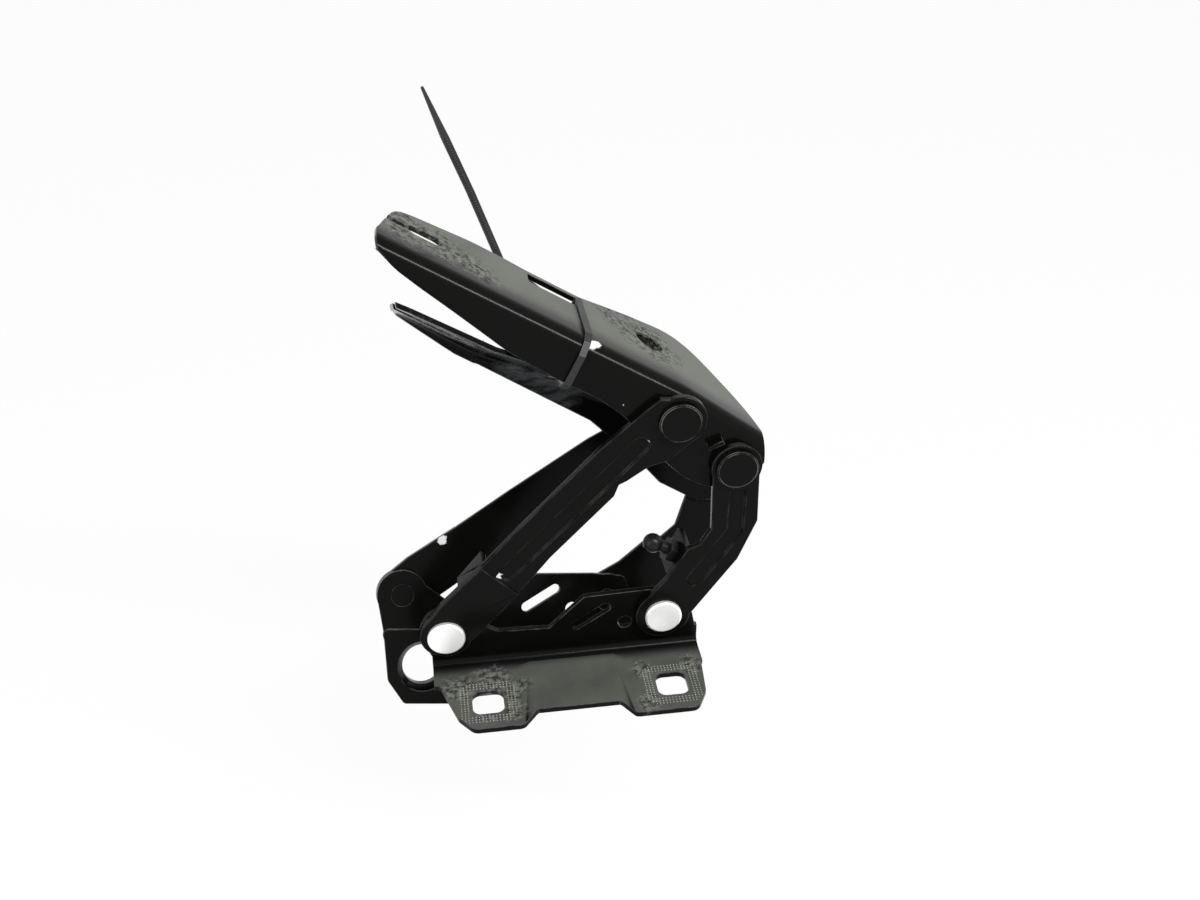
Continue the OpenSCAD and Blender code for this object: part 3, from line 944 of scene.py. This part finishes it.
@dataclass
class PressedHinge:
    """One hinge of the pair: pressed brackets and links, rivets, bushes and a ball stud."""

    side: Side
    base_body: str
    front_body: str
    rear_body: str
    bonnet_body: str
    up: Triple
    flange_up: Triple
    foot_frames: list[Matrix]
    flange_spots: Spots = ()
    flange_chips: Spots = ()
    web_scuffs: Spots = ()
    link_chips: Spots = ()
    foot_spots: Spots = ()
    # Where the base flange and the bonnet flange fade into painted shade toward their bends, along Y.
    foot_bend_shade: Pair = (-1.0, -0.9)
    flange_bend_shade: Pair = (34 * MM, 62 * MM)
    flange_bend_shade_least: float = 0.42
    foot_hole: Triple = (7.75 * MM, 7.75 * MM, 4.2 * MM)
    sheet_edge: float = 0.32 * MM
    turned_edge: float = 0.22 * MM
    link_edge: float = 0.55 * MM
    link_steps: int = 3
    sliver: float = 0.06 * MM
    edges: SoftEdges = field(default_factory=SoftEdges)

    def node(self, piece: str) -> str:
        """Name of this side's node of a piece."""
        return f"{self.side.value}_{piece}"

    def base(self) -> Piece:
        """Dresses the base bracket, with square foot holes.

        Returns:
            The piece.
        """
        # The base's grey top is dust with a painted sheen; the ramp slopes stay black as painted shade.
        coat = DipCoat(
            self.node("base_coat"), self.up, dust_and_sheen_share=0.59, dust_and_sheen_fade=(0.935, 0.998),
            bend_shade_from=self.foot_bend_shade, bend_shade_least=0.03, pitted=self.foot_spots)
        node = self.node("base_bracket")
        hole = rounded(*self.foot_hole)
        piece = self.edges.copy_of(node)
        punch_out(piece, [cutter(self.node("hole"), hole, place) for place in self.foot_frames])
        self.edges.soften(piece, self.sheet_edge)
        return self.edges.stand_in(piece, node, self.base_body, Slot.PAINT, coat.material())

    def knurl(self, paint: Paint) -> Piece:
        """Adds the pressed points round the foot holes.

        Args:
            paint: Material of the points.

        Returns:
            The piece.
        """
        piece = FootKnurl().build(self.node("foot_knurl"), self.foot_frames, paint)
        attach(piece, self.base_body)
        return piece

    def bonnet(self) -> Piece:
        """Dresses the bonnet bracket, whose near one is swept anew.

        Returns:
            The piece.
        """
        # The flange's grey is dust with a painted sheen of the light from above.
        coat = DipCoat(
            self.node("bonnet_coat"), self.flange_up, dust_and_sheen_share=0.88, dust_and_sheen_fade=(0.93, 0.999),
            bend_shade_from=self.flange_bend_shade, bend_shade_least=self.flange_bend_shade_least, pitted=self.flange_spots,
            chips=self.flange_chips, scuffs=self.web_scuffs, gloss=0.15)
        node = self.node("bonnet_bracket")
        near = self.side is Side.LEFT
        piece = BonnetPressing().build(node + "_piece") if near else self.edges.copy_of(node)
        self.edges.soften(piece, self.sheet_edge, sliver=self.sliver)
        return self.edges.stand_in(piece, node, self.bonnet_body, Slot.PAINT, coat.material())

    def dress(self, name: str, body: str, slot: Slot, paint: Paint, width: float, steps: int = 2) -> Piece:
        """Softens a copy of a node and paints it.

        Args:
            name: Name of the piece on this side.
            body: The body that it moves with.
            slot: The record's slot of its finish.
            paint: Its material.
            width: Width of its soft edges.
            steps: Number of strips in an edge.

        Returns:
            The piece.
        """
        piece = self.edges.copy_of(self.node(name))
        self.edges.soften(piece, width, steps)
        return self.edges.stand_in(piece, self.node(name), body, slot, paint)

    def links(self) -> list[Piece]:
        """Dresses both links.

        Returns:
            The pieces.
        """
        # A little dust with a painted sheen on the links' upper faces.
        coat = DipCoat(
            self.node("link_coat"), self.up, dust_and_sheen_share=0.15, chips=self.link_chips, gloss=0.19,
            bare_and_glint_edges=0.08).material()
        return [
            self.dress(name, body, Slot.PAINT, coat, self.link_edge, self.link_steps)
            for name, body in (("front_link", self.front_body), ("rear_link", self.rear_body))]

    def pivots(self, lower: Paint, lower_slot: Slot, upper: Paint) -> list[Piece]:
        """Dresses the four rivets.

        Args:
            lower: Material of the lower rivets.
            lower_slot: The record's slot of the lower rivets.
            upper: Material of the upper rivets.

        Returns:
            The pieces.
        """
        levels = (
            ("lower", self.base_body, lower_slot, lower), ("upper", self.bonnet_body, Slot.PAINT, upper))
        return [
            self.dress(f"{end}_{level}_rivet", body, slot, paint, self.turned_edge)
            for end in ("front", "rear") for level, body, slot, paint in levels]

    def bushes(self, paint: Paint) -> list[Piece]:
        """Paints the bushes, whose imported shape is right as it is.

        Args:
            paint: Bearing bronze.

        Returns:
            The pieces.
        """
        names = [f"{end}_{level}_bush" for end in ("front", "rear") for level in ("lower", "upper")]
        made = [frame["nodes"][self.node(name)] for name in names]
        for bush in made:
            bush.data.materials.clear()
            bush.data.materials.append(paint)
        return made

    def stud(self, paint: Paint) -> Piece:
        """Dresses the ball stud."""
        return self.dress("ball_stud", self.rear_body, Slot.STUD, paint, self.turned_edge)


@dataclass
class LashingTie:
    """The cable tie: a soft-edged strap with ribs across its free tail.

    The strap is lifted over the bracket inside the first limits, and slants below the second ones.
    """

    body: str = "bonnet_side"
    width_axis: Triple = (0.871, 0.317, 0.3746)
    face_axis: Triple = (0.342, -0.940, 0.0)
    tail: tuple[Triple, ...] = (
        (-0.0265, 0.098, 0.2000), (-0.0367, 0.098, 0.2288), (-0.0467, 0.098, 0.2548))
    strap_half: float = 0.6 * MM
    strap_edge: float = 0.16 * MM
    lift: float = 3.3 * MM
    lifted: Pair = (82 * MM, 168.5 * MM)
    slant: float = 6.0 * MM
    slanted: Triple = (34 * MM, 184 * MM, 26 * MM)
    pitch: float = 1.25 * MM
    rib: Triple = (2.5 * MM, 0.34 * MM, 0.62 * MM)
    edges: SoftEdges = field(default_factory=SoftEdges)

    def strap(self, paint: Paint) -> Piece:
        """Dresses the strap and its head.

        Args:
            paint: Moulded nylon.

        Returns:
            The piece.
        """
        piece = self.edges.copy_of("cable_tie")
        unshaded_share, above = self.lifted
        near, start, run = self.slanted
        for point in piece.data.vertices:
            if point.co.y < unshaded_share and point.co.z > above:
                point.co.z += self.lift
            if point.co.y < near:
                point.co.x -= self.slant * min(1.0, max(0.0, (start - point.co.z) / run))
        self.edges.soften(piece, self.strap_edge)
        return self.edges.stand_in(piece, "cable_tie", self.body, Slot.NYLON, paint)

    def ribs(self, paint: Paint) -> Piece:
        """Sets ribs along the tail, on the side that faces out.

        Args:
            paint: Moulded nylon.

        Returns:
            The piece.
        """
        graph = ShapeGraph("tie_rib_rows", {
            "Pitch": self.pitch, "Rib Length": self.rib[0], "Rib Rise": self.rib[1],
            "Rib Width": self.rib[2]})
        size = graph.add("ShaderNodeCombineXYZ", {}, {
            0: graph.input("Rib Length"), 1: graph.input("Rib Rise"), 2: graph.input("Rib Width")})
        bar = graph.add("GeometryNodeMeshCube", {}, {"Size": size})
        line = graph.add("GeometryNodeMeshToCurve", {}, {"Mesh": graph.input("Geometry")})
        spaced = graph.add("GeometryNodeResampleCurve", {"mode": "LENGTH"}, {
            "Curve": line, "Length": graph.input("Pitch")})
        across, out = Vector(self.width_axis).normalized(), Vector(self.face_axis).normalized()
        turn = Matrix((across, -out, across.cross(-out))).transposed().to_euler()
        rows = graph.add("GeometryNodeInstanceOnPoints", {}, {
            "Points": spaced, "Instance": bar, "Rotation": tuple(turn)})
        graph.close(rows, paint)
        mesh = bpy.data.meshes.new("cable_tie_ribs")
        points = [Vector(p) + out * self.strap_half for p in self.tail]
        mesh.from_pydata(points, [(i, i + 1) for i in range(len(points) - 1)], [])
        piece = linked("cable_tie_ribs", mesh)
        graph.bake(piece)
        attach(piece, self.body)
        return piece


@dataclass(frozen=True)
class SoftLamp:
    """A rectangular lamp: its place, where it faces, the way its first side runs, its sides and watts."""

    name: str
    at: Triple
    aim: Triple
    along: Triple
    sides: Pair
    power: float

    def hang(self) -> None:
        """Hangs the lamp in the scene."""
        data = bpy.data.lights.new(self.name, "AREA")
        data.shape, data.energy = "RECTANGLE", self.power
        data.size, data.size_y = self.sides
        back = (Vector(self.at) - Vector(self.aim)).normalized()
        across = back.cross(Vector(self.along)).normalized()
        lamp = linked(self.name, data)
        lamp.location = self.at
        lamp.rotation_euler = Matrix((across.cross(back), across, back)).transposed().to_euler()


@dataclass
class Studio:
    """Pale floor, white surround, soft lamps and the camera.

    A strip glints along the bends, a side lamp lights the links' edges and a broad lamp fills the rest.
    The floor lies low enough for the right base to clear it as the pair folds.
    """

    camera_at: Triple = (-0.0582, -0.4589, 0.4340)
    camera_turn: Triple = (58.0, 0.0, -8.4)
    lens: float = 37.5
    film: float = 36.0
    nearest: float = 0.01
    sky: float = 0.45
    floor_white: float = 0.95
    floor_grey: float = 0.86
    floor_half: float = 4.0
    floor_drop: float = 79 * MM
    lamps: tuple[SoftLamp, ...] = (
        SoftLamp("strip", (0.62, -0.60, 1.02), (0.0, 0.05, 0.15), (0.877, 0.0, -0.481), (1.1, 0.13), 19.0),
        SoftLamp("side", (-1.25, -0.60, 0.42), (0.0, 0.03, 0.10), (0.0, 0.0, 1.0), (0.9, 0.35), 5.0),
        SoftLamp("fill", (-0.9, -0.9, 1.1), (0.0, 0.05, 0.1), (1.0, 0.0, 0.0), (1.2, 1.2), 4.0))

    @staticmethod
    def seen(graph: Graph) -> Value:
        """Finds the rays that see the background, straight or in a reflection.

        Args:
            graph: The nodes of the world or of the floor.

        Returns:
            One for those rays, else zero.
        """
        camera, glossy, through = (
            graph.add("ShaderNodeLightPath", {}, {}, f"Is {kind} Ray")
            for kind in ("Camera", "Glossy", "Transmission"))
        return camera.most(glossy).most(through)

    def surround(self) -> None:
        """White world that lights the object softly and shows white behind it."""
        world = bpy.data.worlds.new("surround")
        bpy.context.scene.world = world
        world.use_nodes = True
        graph = Graph(world.node_tree)
        strength = self.sky + (1 - self.sky) * self.seen(graph)
        back = graph.add("ShaderNodeBackground", {}, {"Color": (1, 1, 1, 1), "Strength": strength})
        graph.add("ShaderNodeOutputWorld", {}, {"Surface": back})

    def floor(self) -> None:
        """Pale floor that keeps the object's shadow."""
        low, half = CAD_BOX[0].z - self.floor_drop, self.floor_half
        mesh = bpy.data.meshes.new("studio_floor")
        corners = [(-half, -half, low), (half, -half, low), (half, half, low), (-half, half, low)]
        mesh.from_pydata(corners, [], [(0, 1, 2, 3)])
        floor = linked("studio_floor", mesh)
        graph = SurfaceGraph("pale_floor")
        matt = graph.add("ShaderNodeBsdfDiffuse", {}, {"Color": (*(self.floor_grey,) * 3, 1)})
        glow = graph.add("ShaderNodeEmission", {}, {"Color": (1, 1, 1, 1), "Strength": 1.0})
        share = self.seen(graph) * self.floor_white
        both = graph.add("ShaderNodeMixShader", {}, {0: share, 1: matt, 2: glow})
        graph.add("ShaderNodeOutputMaterial", {}, {"Surface": both})
        mesh.materials.append(graph.material)

    def camera(self) -> None:
        """Stands the camera where the photograph was taken from."""
        data = bpy.data.cameras.new("photo_camera")
        data.lens, data.sensor_width, data.sensor_fit = self.lens, self.film, "HORIZONTAL"
        data.clip_start = self.nearest
        camera = linked("photo_camera", data)
        camera.location = self.camera_at
        camera.rotation_euler = Euler([math.radians(a) for a in self.camera_turn])
        bpy.context.scene.camera = camera

    def build(self) -> None:
        """Sets the whole studio up."""
        self.camera()
        self.surround()
        self.floor()
        for lamp in self.lamps:
            lamp.hang()
        bpy.context.scene.view_settings.view_transform = "Standard"
        LOG.info("studio set up")


def spots(*rows: tuple[float, float, float, float]) -> Spots:
    """Spots from rows of three coordinates and a reach, in millimetres."""
    return tuple(Spot((x * MM, y * MM, z * MM), reach * MM) for x, y, z, reach in rows)


def left_hinge() -> PressedHinge:
    """The left hinge, which lies nearest to the camera.

    Returns:
        The hinge.
    """
    return PressedHinge(
        Side.LEFT, "left_base", "left_front_arm", "left_rear_arm", "bonnet_side",
        up=(0.0, 0.0, 1.0), flange_up=(0.529, 0.0, 0.849),
        foot_frames=[Matrix.Translation((x, 0.0, FOOT_SHEET)) for x in FOOT_HOLES],
        flange_spots=spots(
            (44.1, 71.0, 158.8, 24), (30.0, 83.0, 166.5, 16), (-56.0, 60.0, 218.5, 20),
            (-68.0, 58.0, 226.0, 20), (-43.0, 56.0, 211.0, 15), (-74.0, 70.0, 231.0, 16),
            (-35.0, 50.0, 206.0, 11)),
        flange_chips=spots(
            (11.2, 35.0, 178.0, 2.6), (14.0, 36.6, 177.5, 2.2), (1.6, 33.8, 180.6, 1.3),
            (25.0, 31.0, 148.0, 0.9)),
        link_chips=spots(
            (-8.1, 27.0, 82.9, 1.0), (16.1, 27.0, 106.5, 1.0), (-35.6, 27.0, 58.8, 1.3),
            (36.3, 27.0, 129.2, 1.1)),
        foot_spots=spots(
            (-60.0, 12.0, 3, 12), (-42.0, 15.0, 3, 13), (-32.0, 8.0, 3, 10), (-33.0, -8.0, 3, 8),
            (33.0, 12.0, 3, 8), (33.0, -12.0, 3, 7), (58.0, 13.0, 3, 9), (-46.0, -8.0, 3, 6)),
        # Painted shade: the base flange darkens toward its bend; the bonnet flange darkens toward its bend
        # and is lighter toward its far edge.
        foot_bend_shade=(28 * MM, 19 * MM), flange_bend_shade=(38.5 * MM, 56 * MM), flange_bend_shade_least=0.06)


def right_hinge(record: dict) -> PressedHinge:
    """The right hinge, which lies folded and leaning behind the left one.

    Args:
        record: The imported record.

    Returns:
        The hinge.
    """
    mounts = {m["name"]: m for m in record["mounts"]}
    joints = {j["name"]: j for j in record["behaviour"]["joints"]}
    hole = mounts["right_foot_hole"]
    up = -Vector(hole["axis"]).normalized()
    across = up.cross(Vector(joints["right_front_lower"]["axis"]).cross(up)).normalized()
    turn = Matrix((across.cross(up), across, up)).transposed().to_4x4()
    pad = Matrix.Translation(Vector(hole["pos_m"]) + up * FOOT_SHEET / 2) @ turn
    return PressedHinge(
        Side.RIGHT, "right_base", "right_front_arm", "right_rear_arm", "bonnet_side",
        up=tuple(up), flange_up=tuple(mounts["right_bonnet_hole"]["axis"]), foot_frames=[pad],
        flange_spots=tuple(
            Spot(tuple(mounts[name]["pos_m"]), reach=22 * MM)
            for name in ("right_bonnet_hole", "right_bonnet_slot")),
        foot_spots=(Spot(tuple(hole["pos_m"]), reach=16 * MM),),
        web_scuffs=spots((-5.3, 116.2, 111.0, 21), (-18.0, 117.2, 117.0, 16), (6.0, 115.0, 106.0, 13)),
        flange_chips=spots((-1.0, 112.5, 101.0, 2.0)),
        link_chips=spots((-62.1, 78.8, 46.9, 2.1)))


def main() -> None:
    """Builds the studio, both hinges and the tie, in that order, and reports each piece."""
    logging.basicConfig(level=logging.INFO, format="%(message)s")
    Studio().build()
    zinc = TurnedMetal(
        "rivet_zinc", (0.99, 0.99, 0.985), (0.94, 0.94, 0.93), roughness=0.30, metallic=0.6).material()
    phosphate = TurnedMetal(
        "stud_phosphate", (0.007, 0.007, 0.007), (0.022, 0.022, 0.021), roughness=0.30, metallic=0.0,
        shine=0.16).material()
    bronze = TurnedMetal(
        "bush_bronze", (0.42, 0.33, 0.20), (0.20, 0.14, 0.08), roughness=0.38, metallic=1.0).material()
    # Pale points: worn metal tips that also serve as a painted highlight on the top of each point.
    lit_worn_tips = TurnedMetal(
        "knurl_lit_worn_tips", (0.34, 0.34, 0.31), (0.16, 0.16, 0.145), roughness=0.5, metallic=0.2,
        stain_share=0.7).material()
    nylon = MouldedNylon().material()
    pieces: list[Piece] = []
    for hinge in (left_hinge(), right_hinge(frame["record"])):
        heads = DipCoat(hinge.node("rivet_coat"), gloss=0.27, bare_and_glint_edges=0.42).material()
        near = hinge.side is Side.LEFT
        pieces += [hinge.base(), hinge.knurl(lit_worn_tips), hinge.bonnet(), *hinge.links()]
        pieces += hinge.pivots(zinc if near else heads, Slot.ZINC if near else Slot.PAINT, heads)
        pieces += hinge.bushes(bronze)
        if near:
            pieces.append(hinge.stud(phosphate))
    tie = LashingTie()
    pieces += [tie.strap(nylon), tie.ribs(nylon)]
    for piece in pieces:
        LOG.info("%s: %d faces", piece.name, len(piece.data.polygons))


if __name__ == "__main__":
    main()
